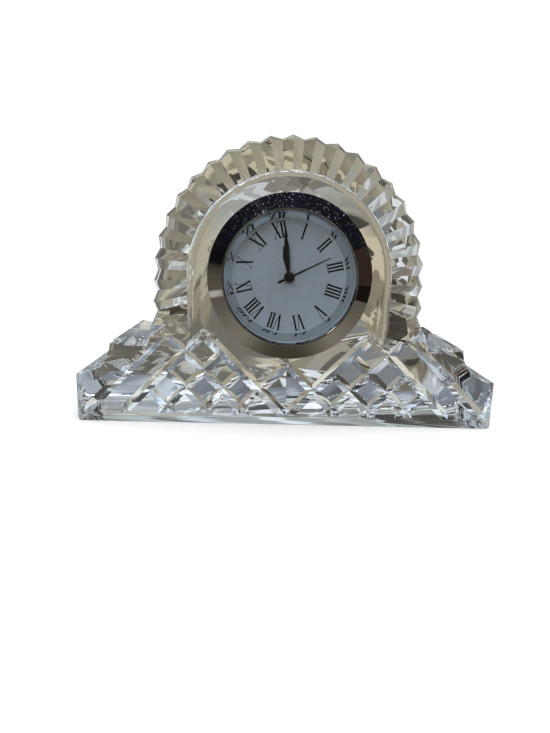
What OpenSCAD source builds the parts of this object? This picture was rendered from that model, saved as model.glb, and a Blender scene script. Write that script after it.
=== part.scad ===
// Cut-crystal mantel clock with a press-in quartz insert.
// Millimetres, Z up, origin under the middle of the clock, front face towards -Y.

/* [Crystal] */
// Width of the foot
body_w = 116; // [112:0.5:120]
// Depth of the crystal, front face to back face
body_d = 42; // [40:0.5:46]
// Height of the foot at its outer ends
foot_h = 13.4; // [12:0.1:14]
// Half width of the second step
step_half_w = 48; // [47:0.1:49]
// Height of the second step at its corner
step_h = 22.3; // [21.8:0.1:22.8]
// Height of the centre of the arch and of the dial
axis_z = 40.7; // [40:0.1:42]
// Radius of the arch over the tips of its flutes
arch_r = 36.9; // [36.3:0.1:37.5]
// Radius of the plain round panel inside the flutes
panel_r = 27.3; // [26.8:0.1:27.8]
// Width of the rounded shoulder at the edge of the panel
shoulder_w = 2.5; // [1.5:0.1:2.8]
// Radius of the vertical corners of the foot
corner_r = 2; // [1:0.1:3]

/* [Flutes] */
// Number of flutes that a full circle would hold
flutes_per_turn = 39; // [37:1:41]
// Depth of the flutes in the rim
flute_cut = 1.1; // [0.8:0.05:1.4]
// Drop of the flute valleys on the front band
flute_drop = 0.95; // [0.5:0.05:1.2]
// Angle below the level of the dial centre at which the flutes stop
flute_end = 19.5; // [18:0.5:20]

/* [Lattice cuts] */
// Width of the V cuts at the face
cut_w = 2.7; // [2:0.1:3.6]
// Depth of the V cuts
cut_d = 1.15; // [0.6:0.05:1.6]
// Spacing of the cuts along the foot
cut_pitch = 10.2; // [9.8:0.1:10.4]
// Half width of the centre diamond
diamond_half = 7.4; // [7:0.1:7.8]
// Height at which the cuts of both directions cross
cross_z = 10; // [9.5:0.1:10.5]
// Height of the lower ends of the cuts
cut_end_z = 2.5; // [2:0.1:4]
// Radius of the small cups at the two peaks of the lattice
cup_r = 1.6; // [1:0.1:2]

/* [Insert] */
// Outer diameter of the bezel
bezel_d = 43.4; // [42.4:0.1:44.4]
// Lap of the bezel over the crystal round the bore
bore_lap = 2.2; // [2:0.1:2.4]
// Width of the bezel from its outer edge to the lens opening
bezel_w = 4.3; // [4.1:0.05:4.4]
// Height of the bezel above the crystal face
bezel_h = 2.75; // [2.6:0.05:3.2]
// Room for the friction band between the bore and the insert case
band_w = 1.2; // [1.1:0.05:1.3]
// Depth of the insert case behind the crystal face
case_depth = 13.9; // [13.9:0.1:14.5]
// Turn of the insert in its bore, counter-clockwise seen from the front
dial_turn = 13.3; // [-20:0.1:20]
// Radial gap of the sliding and turning fits of the insert
fit_gap = 0.04; // [0.02:0.01:0.08]

/* [Dial and hands] */
// Width of the sloping ring round the visible dial
funnel_w = 2.2; // [2:0.05:2.4]
// Level of the dial face behind the crystal face
dial_z = -3.84; // [-3.9:0.01:-3.8]
// Minutes past twelve shown by the minute hand
shown_minute = 1.05; // [0:0.05:60]
// Seconds shown by the second hand
shown_second = 12.8; // [0:0.1:60]
// Length of the minute hand from the centre
minute_len = 12.3; // [11:0.1:13]
// Length of the hour hand from the centre
hour_len = 8.3; // [7:0.1:9]
// Length of the second hand from the centre
second_len = 12; // [11:0.1:13]

/* [Movement] */
// Diameter of the button cell
cell_d = 9.5; // [9.4:0.1:9.5]
// Thickness of the button cell
cell_h = 2.7; // [2.6:0.05:2.72]
// Radius of the setting knob
knob_r = 3.2; // [2.6:0.1:3.6]
// Running gap of an arbor in its hole
arbor_gap = 0.04; // [0.02:0.01:0.06]

/* [Hidden] */

bezel_r = bezel_d / 2;
bore_r = bezel_r - bore_lap;
bezel_open_r = bezel_r - bezel_w;
case_r = bore_r - band_w;
case_wall = 0.7;
case_in_r = case_r - case_wall;
dial_open_r = case_in_r - funnel_w;
foot_pin_r = case_in_r - 3.2;
// The rim of the arch is struck from a centre this far below the dial
arch_low = 0.4;

// Levels inside the insert, measured along the dial axis, 0 at the crystal face, backwards negative
lens_z = 1.15;
lens_t = 1.1;
rim_z = 0.6;
dial_t = 0.5;
plate_t = 0.8;
middle_plate_t = 0.4;
cover_t = 0.8;
hand_t = 0.2;
wheel_t = 0.3;
// Free heights behind the dial, between the plates and behind the back plate
motion_room = 2.36;
train_room = 3.8;
rear_room = 0.8;
front_plate_z = dial_z - motion_room;
middle_plate_z = front_plate_z - 2 * plate_t;
back_plate_z = front_plate_z - plate_t - train_room;
cover_z = back_plate_z - plate_t - rear_room;
lip_z = -case_depth + 0.6;
hour_hand_z = dial_z + 0.59;
minute_hand_z = hour_hand_z + 0.7;
second_hand_z = minute_hand_z + 0.7;
hour_wheel_z = front_plate_z + 1.1;
minute_wheel_z = front_plate_z + 0.25;
cannon_z = front_plate_z + 0.1;
centre_z = front_plate_z - plate_t - 0.5;
third_z = back_plate_z + 2;
seconds_z = back_plate_z + 1.2;
inter_z = back_plate_z + 0.55;
rotor_z = back_plate_z + 0.4;
front_pivot_z = front_plate_z - plate_t + 0.3;
middle_pivot_z = middle_plate_z - 0.1;
back_pivot_z = back_plate_z - plate_t / 2;
cell_z = back_plate_z + 2.33;

// Room round the case for the parts of the movement: inner lip at the back, battery hatch and its hole
case_lip_w = 1.3;
hatch_hole_r = cell_d / 2 + 0.35;
hatch_r = hatch_hole_r + 0.5;
hatch_gap = 0.2;
// The wheels are laid out for the room in the case
train_scale = case_in_r / 17.6;

// Wheel train: teeth and modules
seconds_pinion_n = 8;
third_n = 60;
third_m = 0.18 * train_scale;
third_pinion_n = 8;
centre_n = 64;
centre_m = 0.17 * train_scale;
cannon_n = 12;
minute_n = 36;
minute_m = 0.2 * train_scale;
minute_pinion_n = 10;
hour_n = 40;
hour_m = 0.192 * train_scale;
setting_n = 12;
seconds_n = 48;
step_m = 0.15 * train_scale;
inter_pinion_n = 8;
inter_n = 30;
rotor_n = 6;

// Centre distances and places of the arbors around the dial axis
third_dist = third_m * (seconds_pinion_n + third_n) / 2;
minute_dist = minute_m * (cannon_n + minute_n) / 2;
setting_dist = minute_m * (setting_n + minute_n) / 2;
inter_dist = step_m * (seconds_n + inter_pinion_n) / 2;
rotor_dist = step_m * (inter_n + rotor_n) / 2;
minute_dir = 230;
setting_dir = 215;
inter_dir = -20;
rotor_dir = -20;
cell_dir = 70.6;
cell_dist = case_in_r - case_lip_w - hatch_r - hatch_gap;
cell_at = polar(cell_dist, cell_dir);
// The third wheel turns clear of the cell
third_tip_r = third_m * (third_n / 2 + 0.95);
third_clear = third_tip_r + cell_d / 2 + 0.35;
third_dir = cell_dir
    + acos((third_dist * third_dist + cell_dist * cell_dist - third_clear * third_clear) / (2 * third_dist * cell_dist));
third_at = polar(third_dist, third_dir);
minute_at = polar(minute_dist, minute_dir);
setting_at = minute_at + polar(setting_dist, setting_dir);
inter_at = polar(inter_dist, inter_dir);
rotor_at = inter_at + polar(rotor_dist, rotor_dir);
coil_at = [3, -11];
coil_half = 3.6;
foot_x = 5.6;
setting_end_z = -case_depth - 1.3;
stator_z = back_plate_z + 2.3;
stator_t = 0.6;
core_z = stator_z - stator_t;
coil_r = 1.35;
board_z = back_plate_z + 0.5;
board_t = 0.4;
board_r = case_in_r - 2.2;
board_w = 5.4;
pillar_dirs = [20, 110, 245, 325];
pillar_dist = case_in_r - 3.4;

// Radii of the three nested arbors
seconds_arbor_r = 0.22;
centre_tube_r = 0.45;
cannon_r = 0.7;
hour_tube_r = 1.0;

// Rest phases, so that every pair of wheels stands in mesh
third_phase = mesh_phase(seconds_pinion_n, 0, third_n, third_dir);
third_pinion_phase = mesh_phase(centre_n, 0, third_pinion_n, third_dir);
minute_phase = mesh_phase(cannon_n, 0, minute_n, minute_dir);
minute_pinion_phase = mesh_phase(hour_n, 0, minute_pinion_n, minute_dir);
inter_pinion_phase = mesh_phase(seconds_n, 0, inter_pinion_n, inter_dir);
rotor_phase = mesh_phase(inter_n, 0, rotor_n, rotor_dir);
setting_phase = mesh_phase(minute_n, minute_phase, setting_n, setting_dir);

glass_tint = [0.86, 0.84, 0.76, 0.55];
chrome_tint = [0.78, 0.78, 0.8];
brass_tint = [0.8, 0.68, 0.38];
black_tint = [0.08, 0.08, 0.09];
steel_tint = [0.66, 0.67, 0.7];

function polar(r, a) = [r * cos(a), r * sin(a)];

// Rest phase of a wheel that meshes with another: gives the angle of one of its tooth centres.
// dir is the direction from the first wheel to this one.
function mesh_phase(n1, phase1, n2, dir) =
    let (p1 = (dir - phase1) * n1 / 360, p2 = 0.5 - p1)
    dir + 180 - p2 * 360 / n2;

// Points of an arc, in order from angle a to angle b
function arc(cx, cy, r, a, b, n) =
    [for (i = [0:n]) [cx + r * cos(a + (b - a) * i / n), cy + r * sin(a + (b - a) * i / n)]];

// Helpers

// Puts a child drawn around +Z at the dial axis, with +Z towards the viewer
module at_dial() {
    translate([0, -body_d / 2, axis_z]) rotate([90, 0, 0]) rotate([0, 0, dial_turn]) children();
}

// Straight bar with round ends between two points
module link_2d(p, q, w) {
    d = q - p;
    translate(p) rotate(atan2(d[1], d[0])) translate([0, -w / 2]) square([norm(d), w]);
    translate(p) circle(d = w, $fn = 32);
    translate(q) circle(d = w, $fn = 32);
}

// Toothed disc: shares of the angular pitch at root, pitch circle and tip
module toothed(n, m, h, phase, root_w = 0.5, pitch_w = 0.43, tip_w = 0.16, add = 0.95, ded = 1.25) {
    rr = m * (n / 2 - ded);
    rp = m * n / 2;
    rt = m * (n / 2 + add);
    a = 360 / n;
    points = [for (k = [0:n - 1]) each [
        polar(rr, phase + a * (k - root_w / 2)),
        polar(rp, phase + a * (k - pitch_w / 2)),
        polar(rt, phase + a * (k - tip_w / 2)),
        polar(rt, phase + a * (k + tip_w / 2)),
        polar(rp, phase + a * (k + pitch_w / 2)),
        polar(rr, phase + a * (k + root_w / 2))
    ]];
    linear_extrude(height = h) polygon(points);
}

// Small leaf pinion, with radial flanks
module leaf_pinion(n, m, h, phase) {
    toothed(n, m, h, phase, root_w = 0.36, pitch_w = 0.36, tip_w = 0.14, add = 0.85, ded = 1.35);
}

// Solid cylinder between two levels
module shaft(r, z0, z1) {
    translate([0, 0, min(z0, z1)]) cylinder(r = r, h = abs(z1 - z0), $fn = 48);
}

// Ring between two levels
module ring(ro, ri, z0, z1, fn = 128) {
    translate([0, 0, min(z0, z1)]) difference() {
        cylinder(r = ro, h = abs(z1 - z0), $fn = fn);
        translate([0, 0, -1]) cylinder(r = ri, h = abs(z1 - z0) + 2, $fn = fn);
    }
}

// Crystal

// Stepped outline of the foot seen from the front, right half, with a hollow cove on each step
function foot_outline() =
    let (
        hw = body_w / 2,
        cove_w = hw - 1.1 - step_half_w,
        cove_h = step_h - foot_h,
        dip = 0.9
    )
    concat(
        [[0, 0]],
        arc(hw - 1.6, 1.6, 1.6, -90, 0, 5),
        arc(hw - 1, foot_h - 1, 1, 0, 90, 4),
        [for (i = [0:12]) let (a = -90 - 90 * i / 12)
            [step_half_w + cove_w * (1 + cos(a)), step_h + cove_h * sin(a)]],
        [for (i = [1:6]) let (t = i / 7) [step_half_w - 10.5 * t, step_h - dip * sin(90 * min(1, 1.6 * t))]],
        [[step_half_w - 12.5, step_h - dip], [step_half_w - 15, step_h + 1], [0, step_h + 1.2]]
    );

module foot() {
    half = foot_outline();
    full = concat(half, [for (i = [len(half) - 2:-1:1]) [-half[i][0], half[i][1]]]);
    intersection() {
        translate([0, body_d / 2, 0]) rotate([90, 0, 0]) linear_extrude(height = body_d) polygon(full);
        translate([0, 0, -1]) linear_extrude(height = step_h + 4) {
            square([body_w - 2 * corner_r, body_d], center = true);
            square([body_w, body_d - 2 * corner_r], center = true);
            for (sx = [-1, 1], sy = [-1, 1])
                translate([sx * (body_w / 2 - corner_r), sy * (body_d / 2 - corner_r)])
                    circle(r = corner_r, $fn = 48);
        }
    }
}

// One corner of the fluted arch: radius r at angle a. Below the centre the arch runs straight down.
function arch_point(r, a) =
    let (
        below = a < 0 ? -a : (a > 180 ? a - 180 : 0),
        side = cos(a) < 0 ? -1 : 1,
        w = max(0, (r - panel_r) / (arch_r - panel_r)),
        drop = r * sin(below)
    )
    below > 0
        ? [side * (r + 0.05 * w * drop), axis_z - drop - arch_low * w]
        : [r * cos(a), axis_z + r * sin(a) - arch_low * w];

// The leg under the last flute flares out and forward into the step:
// offsets of the outer line, drops, and shares of its depth behind the front face
leg_flare = [[0.8, 1.8, 0.95], [1.6, 3.8, 0.7], [2.4, 6.2, 0.3], [3.2, 9, 0.05]];

// Stations of the arch from front to back: ridge radius, ridge depth, valley radius, valley depth
arch_stations = [
    [panel_r - 1.3, 2.6, panel_r - 1.3, 2.6],
    [panel_r - 0.4, 1.25, panel_r - 0.4, 1.3 + flute_drop],
    [panel_r + 4.6, 2.5, panel_r + 4.5, 2.5 + flute_drop],
    [arch_r - 1.2, 4.3, arch_r - 1.9, 4.6 + flute_drop * 0.6],
    [arch_r, 6.2, arch_r - flute_cut, 6.4],
    [arch_r, body_d - 1, arch_r - flute_cut, body_d - 1],
    [arch_r - 1, body_d, arch_r - flute_cut - 0.6, body_d]
];

module fluted_arch() {
    pitch = 360 / flutes_per_turn;
    half_steps = 2 * floor((90 + flute_end) / pitch - 0.5) + 1;
    first = 90 - half_steps * pitch / 2;
    last = 90 + half_steps * pitch / 2;
    foot_z = 12;
    function leg(p, w, i) = [p[0] + sign(p[0]) * leg_flare[i][0] * w, p[1] - leg_flare[i][1] * (1.3 - 0.3 * w)];
    function station(s) =
        let (
            rv = s[2],
            w = max(0, (rv - panel_r) / (arch_r - panel_r)),
            start = arch_point(rv, first),
            end = arch_point(rv, last),
            mean = (s[1] + s[3]) / 2,
            deep = [for (f = leg_flare) mean * (mean < body_d / 2 ? f[2] : 1) - body_d / 2]
        )
        concat(
            [[leg(start, w, 3)[0], deep[3], foot_z]],
            [for (i = [3:-1:0]) let (q = leg(start, w, i)) [q[0], deep[i], q[1]]],
            [for (i = [0:2 * half_steps])
                let (
                    ridge = i % 2 == 1,
                    p = arch_point(ridge ? s[0] : rv, first + i * pitch / 2)
                )
                [p[0], -body_d / 2 + (ridge ? s[1] : s[3]), p[1]]],
            [for (i = [0:3]) let (q = leg(end, w, i)) [q[0], deep[i], q[1]]],
            [[leg(end, w, 3)[0], deep[3], foot_z]]
        );
    n = 2 * half_steps + 1 + 2 * len(leg_flare) + 2;
    m = len(arch_stations);
    hub_z = 30;
    points = concat(
        [for (s = arch_stations) each station(s)],
        [[0, -body_d / 2 + arch_stations[0][1], hub_z], [0, body_d / 2, hub_z]]
    );
    faces = concat(
        [for (i = [0:n - 1]) [n * m, (i + 1) % n, i]],
        [for (j = [0:m - 2], i = [0:n - 1])
            let (k = (i + 1) % n)
            each [[j * n + i, j * n + k, (j + 1) * n + k], [j * n + i, (j + 1) * n + k, (j + 1) * n + i]]],
        [for (i = [0:n - 1]) [n * m + 1, (m - 1) * n + i, (m - 1) * n + (i + 1) % n]]
    );
    polyhedron(points, faces, convexity = 6);
}

// Half section of the round panel with its rolled shoulder: x outwards, y forwards from the face
function panel_section() = concat(
    [[0, -8]],
    [[panel_r, -8]],
    [for (i = [0:8]) let (a = 90 * i / 8) [panel_r - shoulder_w * (1 - cos(a)), -1.5 + 1.5 * sin(a)]],
    [[0, 0]]
);

module round_panel() {
    translate([0, -body_d / 2, axis_z]) rotate([90, 0, 0]) {
        rotate_extrude($fn = 160) polygon(panel_section());
        rotate([90, 0, 0]) linear_extrude(height = axis_z - 16) {
            polygon(panel_section());
            mirror([1, 0]) polygon(panel_section());
        }
    }
}

// Wheel cut with a V section that runs out to a point at both ends. p and q are the ends on the face.
module v_cut(p, q, w = cut_w, d = cut_d, run = 1.8) {
    over = 0.4;
    grow = over / d;
    len = norm(q - p);
    run_in = min(run, len * 0.45);
    back = run_in * grow;
    hw = w / 2 * (1 + grow);
    points = [
        [-back, 0, over],
        [run_in, -hw, over], [run_in, hw, over], [run_in, 0, -d],
        [len - run_in, -hw, over], [len - run_in, hw, over], [len - run_in, 0, -d],
        [len + back, 0, over]
    ];
    faces = [
        [0, 2, 1], [0, 1, 3], [0, 3, 2],
        [1, 2, 5], [1, 5, 4], [1, 4, 6], [1, 6, 3], [2, 3, 6], [2, 6, 5],
        [7, 4, 5], [7, 6, 4], [7, 5, 6]
    ];
    translate([p[0], -body_d / 2, p[1]]) rotate([90, 0, 0])
        rotate([0, 0, atan2(q[1] - p[1], q[0] - p[0])])
            polyhedron(points, faces, convexity = 3);
}

// Cuts of one half of the lattice, as the reach of each below and above the crossing line.
// They start at the middle of the clock. Rising cuts climb towards the middle, falling ones away from it.
low_reach = cross_z - cut_end_z;
corner_reach = 1.5 * cut_pitch;
rising = [
    [low_reach, diamond_half], [low_reach, cut_pitch / 2], [low_reach, cut_pitch],
    [low_reach, corner_reach], [low_reach, corner_reach]
];
falling = [
    [min(low_reach, diamond_half + 0.2), corner_reach], [low_reach, corner_reach],
    [low_reach, cut_pitch / 2], [low_reach, 0]
];

module lattice_cuts() {
    over = 0.2;
    for (side = [0, 1]) mirror([side, 0, 0]) {
        translate([diamond_half + corner_reach, -body_d / 2 - cup_r * 0.6, cross_z + corner_reach])
            sphere(r = cup_r, $fn = 48);
        for (k = [0:len(rising) - 1]) {
            x = diamond_half + k * cut_pitch;
            low = rising[k][0];
            high = rising[k][1] + over;
            v_cut([x + low, cross_z - low], [x - high, cross_z + high]);
        }
        for (k = [0:len(falling) - 1]) {
            x = diamond_half + k * cut_pitch;
            low = falling[k][0];
            high = falling[k][1] + over;
            wide = k == 0 ? 1.2 : 1;
            v_cut([x - low, cross_z - low], [x + high, cross_z + high], cut_w * wide, cut_d * wide);
        }
    }
}

// Thin bevel that makes the polished band along the lower edge, front and back
module plinth_bevel() {
    for (side = [0, 1]) mirror([0, side, 0])
        translate([-body_w / 2 - 1, -body_d / 2, 0]) rotate([90, 0, 90])
            linear_extrude(height = body_w + 2) polygon([[-1, -1], [0.4, -1], [0.4, 0], [0, 1.5], [-1, 1.5]]);
}

module crystal_body() {
    color(glass_tint) difference() {
        union() {
            foot();
            fluted_arch();
            round_panel();
        }
        lattice_cuts();
        plinth_bevel();
        translate([0, body_d / 2 + 1, axis_z]) rotate([90, 0, 0])
            cylinder(r = bore_r, h = body_d + 2, $fn = 160);
    }
}

// Insert housing

// Bezel with a polished cone, a rounded crest and a snap skirt that grips the front of the case
module bezel() {
    crest_w = 0.6;
    edge_z = 0.95;
    section = concat(
        [[case_r + 0.03, -2.5], [bore_r - 0.5, -2.5], [bore_r - 0.5, 0.05], [bezel_r - 0.1, 0.05], [bezel_r, 0.15]],
        arc(bezel_r - 0.25, edge_z - 0.25, 0.25, 0, 65, 3),
        [for (i = [0:5]) let (a = 64 + 116 * i / 5)
            [bezel_open_r + crest_w / 2 * (1 + cos(a)), bezel_h - crest_w / 2 * (1 - sin(a))]],
        [[bezel_open_r, lens_z + lens_t + 0.03], [case_r - 0.15, lens_z + lens_t + 0.03],
         [case_r - 0.15, rim_z + 0.02], [case_r + 0.03, rim_z + 0.02]]
    );
    color(chrome_tint) at_dial() rotate_extrude($fn = 160) polygon(section);
}

module lens() {
    color([0.9, 0.95, 0.98, 0.25]) at_dial() translate([0, 0, lens_z])
        cylinder(r = case_r - 0.2, h = lens_t, $fn = 128);
}

// Polished funnel between the lens and the dial: a wide cone at the dial, then a steeper one
module reflector_ring() {
    cone_h = 2.1;
    cone_angle = 35;
    section = [
        [dial_open_r, dial_z + 0.02], [case_in_r - 0.04, dial_z + 0.02], [case_in_r - 0.04, rim_z + 0.02],
        [case_r - 0.2, rim_z + 0.02], [case_r - 0.2, lens_z - 0.02], [bezel_open_r - 0.1, lens_z - 0.02],
        [dial_open_r + cone_h * tan(cone_angle), dial_z + 0.02 + cone_h]
    ];
    color(chrome_tint) at_dial() rotate_extrude($fn = 160) polygon(section);
}

module insert_case() {
    section = [
        [case_in_r, rim_z], [case_r, rim_z], [case_r, -3.2], [case_r + 0.5, -3.2], [case_r + 0.5, -3.8],
        [case_r, -3.8], [case_r, -9.6], [case_r + 0.5, -9.6], [case_r + 0.5, -10.2], [case_r, -10.2],
        [case_r, -case_depth + 0.4], [case_r - 0.4, -case_depth],
        [case_in_r - case_lip_w, -case_depth], [case_in_r - case_lip_w, lip_z], [case_in_r, lip_z]
    ];
    color(black_tint) at_dial() rotate_extrude($fn = 128) polygon(section);
}

// Soft ribbed ring that holds the case in the bore
module friction_band() {
    ri = case_r + fit_gap;
    ro = bore_r - fit_gap;
    top = -3.85;
    len = 5.7;
    ribs = 6;
    step = len / ribs;
    section = concat(
        [[ri, top - len], [ri, top]],
        [for (i = [0:ribs - 1]) each [
            [ro - 0.5, top - i * step], [ro, top - (i + 0.3) * step],
            [ro, top - (i + 0.5) * step], [ro - 0.5, top - (i + 0.85) * step]
        ]],
        [[ro - 0.5, top - len]]
    );
    color([0.3, 0.3, 0.31]) at_dial() rotate_extrude($fn = 128) polygon(section);
}

// Dial and hands

module dial() {
    color([0.93, 0.95, 0.97]) at_dial() {
        translate([0, 0, dial_z - dial_t]) difference() {
            cylinder(r = case_in_r - 0.05, h = dial_t, $fn = 128);
            translate([0, 0, -1]) cylinder(r = hour_tube_r + 0.15, h = dial_t + 2, $fn = 48);
        }
        for (a = [95, 275]) translate(polar(foot_pin_r, a)) shaft(0.5, dial_z - dial_t, front_plate_z - 0.5);
    }
}

// Flat hand pointing along +Y: narrow at the boss, widest at two thirds, then pointed
module hand_blade(len, root_w, wide_w, tail) {
    polygon([
        [-root_w / 2, -tail], [root_w / 2, -tail], [root_w / 2, len * 0.12], [wide_w / 2, len * 0.64],
        [0.12, len], [-0.12, len], [-wide_w / 2, len * 0.64], [-root_w / 2, len * 0.12]
    ]);
}

minute_turn = -6 * shown_minute;
hour_turn = -shown_minute / 2;
second_turn = -6 * shown_second;

module hour_hand() {
    color(black_tint) at_dial() difference() {
        union() {
            rotate([0, 0, hour_turn]) translate([0, 0, hour_hand_z]) linear_extrude(height = hand_t)
                hand_blade(hour_len, 0.7, 1.5, 0);
            shaft(1.4, hour_hand_z - 0.35, hour_hand_z + hand_t);
        }
        shaft(hour_tube_r + 0.005, hour_hand_z - 0.8, hour_hand_z + 0.8);
    }
}

module minute_hand() {
    color(black_tint) at_dial() difference() {
        union() {
            rotate([0, 0, minute_turn]) translate([0, 0, minute_hand_z]) linear_extrude(height = hand_t)
                hand_blade(minute_len, 0.65, 1.35, 0);
            shaft(1.1, minute_hand_z - 0.25, minute_hand_z + hand_t);
        }
        shaft(cannon_r + 0.005, minute_hand_z - 0.8, minute_hand_z + 0.8);
    }
}

// Needle with a counterweight tail and a domed cap
module second_hand() {
    color(black_tint) at_dial() {
        difference() {
            union() {
                rotate([0, 0, second_turn]) translate([0, 0, second_hand_z]) linear_extrude(height = 0.18) {
                    polygon([[-0.14, 0], [0.14, 0], [0.07, second_len], [-0.07, second_len]]);
                    translate([-0.24, -3.3]) square([0.48, 3.3]);
                }
                translate([0, 0, second_hand_z]) rotate_extrude($fn = 64) polygon([
                    [0, -0.25], [0.7, -0.25], [0.7, 0], [1.3, 0], [1.25, 0.25], [1.0, 0.43], [0.6, 0.53], [0, 0.57]
                ]);
            }
            shaft(seconds_arbor_r + 0.005, second_hand_z - 1, second_hand_z + 0.25);
        }
    }
}

// Movement: fixed pieces

// Front plate with the rim that carries the dial and the pillars that carry the back plate
module front_plate() {
    color([0.92, 0.9, 0.82]) at_dial() difference() {
        union() {
            shaft(case_in_r - 0.06, front_plate_z, front_plate_z - plate_t);
            ring(case_in_r - 0.06, case_in_r - case_lip_w, dial_z - dial_t - 0.02, front_plate_z - 0.1);
            for (a = pillar_dirs) translate(polar(pillar_dist, a))
                shaft(1.3, front_plate_z - 0.1, back_plate_z + 0.02);
        }
        translate([0, 0, front_plate_z]) {
            shaft(centre_tube_r + arbor_gap, 1, -plate_t - 1);
            translate(third_at) shaft(0.2 + arbor_gap, 1, -plate_t - 1);
            translate(minute_at) shaft(0.3 + arbor_gap, 1, -plate_t - 1);
            translate(setting_at) shaft(0.5 + arbor_gap, 1, -plate_t - 1);
            for (a = [95, 275]) translate(polar(foot_pin_r, a)) shaft(0.55, 1, -0.6);
        }
        for (a = pillar_dirs) translate(polar(pillar_dist, a)) shaft(0.52, back_plate_z - 1, back_plate_z + 2.4);
    }
}

// Bridge that carries the front pivots of the rotor and the intermediate wheel
module middle_plate() {
    tabs = [pillar_dirs[0], pillar_dirs[3]];
    color(steel_tint) at_dial() difference() {
        translate([0, 0, middle_plate_z - middle_plate_t]) linear_extrude(height = middle_plate_t) difference() {
            union() {
                link_2d([0, 0], rotor_at, 4.4);
                link_2d(rotor_at, polar(pillar_dist, tabs[0]), 3.2);
                link_2d(rotor_at, polar(pillar_dist, tabs[1]), 3.2);
                for (a = tabs) translate(polar(pillar_dist, a)) circle(r = 2.1, $fn = 48);
            }
            for (a = tabs) translate(polar(pillar_dist, a)) circle(r = 1.33, $fn = 48);
        }
        translate([0, 0, middle_plate_z]) {
            shaft(seconds_arbor_r + arbor_gap, 1, -1);
            for (p = [inter_at, rotor_at]) translate(p) shaft(0.2 + arbor_gap, 1, -1);
        }
    }
}

module back_plate() {
    color([0.92, 0.9, 0.82]) at_dial() difference() {
        union() {
            shaft(case_in_r - 0.06, back_plate_z, back_plate_z - plate_t);
            for (a = [140, 190]) translate(polar(case_in_r - 3, a)) shaft(0.7, back_plate_z, board_z - 0.01);
        }
        translate([0, 0, back_plate_z]) {
            for (p = [[0, 0], third_at, inter_at, rotor_at]) translate(p) shaft(0.2 + arbor_gap, 1, -plate_t - 1);
            translate(setting_at) shaft(0.7 + arbor_gap, 1, -plate_t - 1);
            translate(cell_at) shaft(cell_d / 2 + 0.15, 1, -plate_t - 1);
            for (a = pillar_dirs) translate(polar(pillar_dist, a)) shaft(0.62, 1, -plate_t - 1);
        }
    }
}

module plate_screws() {
    color(steel_tint) at_dial() for (a = pillar_dirs) translate(polar(pillar_dist, a)) difference() {
        union() {
            shaft(0.5, back_plate_z + 2.2, back_plate_z - plate_t - 0.02);
            shaft(1.0, back_plate_z - plate_t - 0.02, back_plate_z - plate_t - 0.5);
        }
        translate([-1.2, -0.12, back_plate_z - plate_t - 0.6]) cube([2.4, 0.24, 0.3]);
    }
}

module stator() {
    feet = [coil_at - [foot_x, 0], coil_at + [foot_x, 0]];
    color(steel_tint) at_dial() translate([0, 0, stator_z - stator_t]) linear_extrude(height = stator_t) difference() {
        union() {
            translate(rotor_at) circle(r = 2.35, $fn = 64);
            polygon([
                rotor_at + [0, -0.2], feet[0] + [-1, 4.4], feet[0] + [-1, 0],
                feet[0] + [1, 0], feet[0] + [1, 2.8], rotor_at + [0, -2.1]
            ]);
            link_2d(rotor_at + [0, -1.2], feet[1], 2);
            for (f = feet) translate(f) circle(r = 1.4, $fn = 48);
        }
        translate(rotor_at) circle(r = 1.85, $fn = 64);
        for (f = feet) translate(f) circle(r = 0.45, $fn = 32);
    }
}

module stator_screws() {
    color(steel_tint) at_dial() for (s = [-1, 1]) translate(coil_at + [s * foot_x, 0]) {
        shaft(0.4, stator_z + 0.1, core_z - 0.9);
        shaft(0.8, stator_z + 0.02, stator_z + 0.42);
    }
}

// Flat core with its winding between two cheeks
module coil() {
    axis_level = core_z - 0.32;
    color([0.72, 0.4, 0.2]) at_dial() difference() {
        union() {
            translate([coil_at[0] - foot_x - 1.2, coil_at[1] - 0.7, core_z - 0.62])
                cube([2 * foot_x + 2.4, 1.4, 0.6]);
            translate([coil_at[0] - coil_half, coil_at[1], axis_level]) rotate([0, 90, 0])
                cylinder(r = coil_r - 0.2, h = 2 * coil_half, $fn = 64);
            for (s = [-1, 1]) translate([coil_at[0] + s * coil_half - 0.2, coil_at[1], axis_level])
                rotate([0, 90, 0]) cylinder(r = coil_r, h = 0.4, $fn = 64);
        }
        for (s = [-1, 1]) translate(coil_at + [s * foot_x, 0]) shaft(0.42, core_z + 1, core_z - 1.5);
    }
}

// Curved board behind the third wheel
module circuit_board() {
    color([0.1, 0.35, 0.2]) at_dial() translate([0, 0, board_z]) intersection() {
        difference() {
            cylinder(r = board_r, h = board_t, $fn = 128);
            translate([0, 0, -1]) cylinder(r = board_r - board_w, h = board_t + 2, $fn = 128);
        }
        translate([0, 0, -1]) linear_extrude(height = board_t + 2)
            polygon(concat([[0, 0]], [for (a = [125:10:205]) polar(1.3 * board_r, a)]));
    }
}

module quartz_can() {
    color(steel_tint) at_dial() translate([0, 0, board_z + board_t + 0.92]) rotate([0, 0, 190])
        translate([board_r - 1.9, -2.7, 0]) rotate([-90, 0, 0]) cylinder(r = 0.9, h = 5.4, $fn = 48);
}

module chip() {
    color(black_tint) at_dial() rotate([0, 0, 155]) translate([board_r - 3.6, -1.1, board_z + board_t + 0.01])
        cube([2.2, 2.2, 0.6]);
}

module cell() {
    color([0.8, 0.8, 0.78]) at_dial() translate(concat(cell_at, cell_z)) rotate_extrude($fn = 96) polygon([
        [0, 0], [cell_d / 2 - 1, 0], [cell_d / 2 - 0.9, -0.23], [cell_d / 2 - 0.25, -0.28], [cell_d / 2, -0.53],
        [cell_d / 2, -cell_h + 0.25], [cell_d / 2 - 0.25, -cell_h], [0, -cell_h]
    ]);
}

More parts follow.
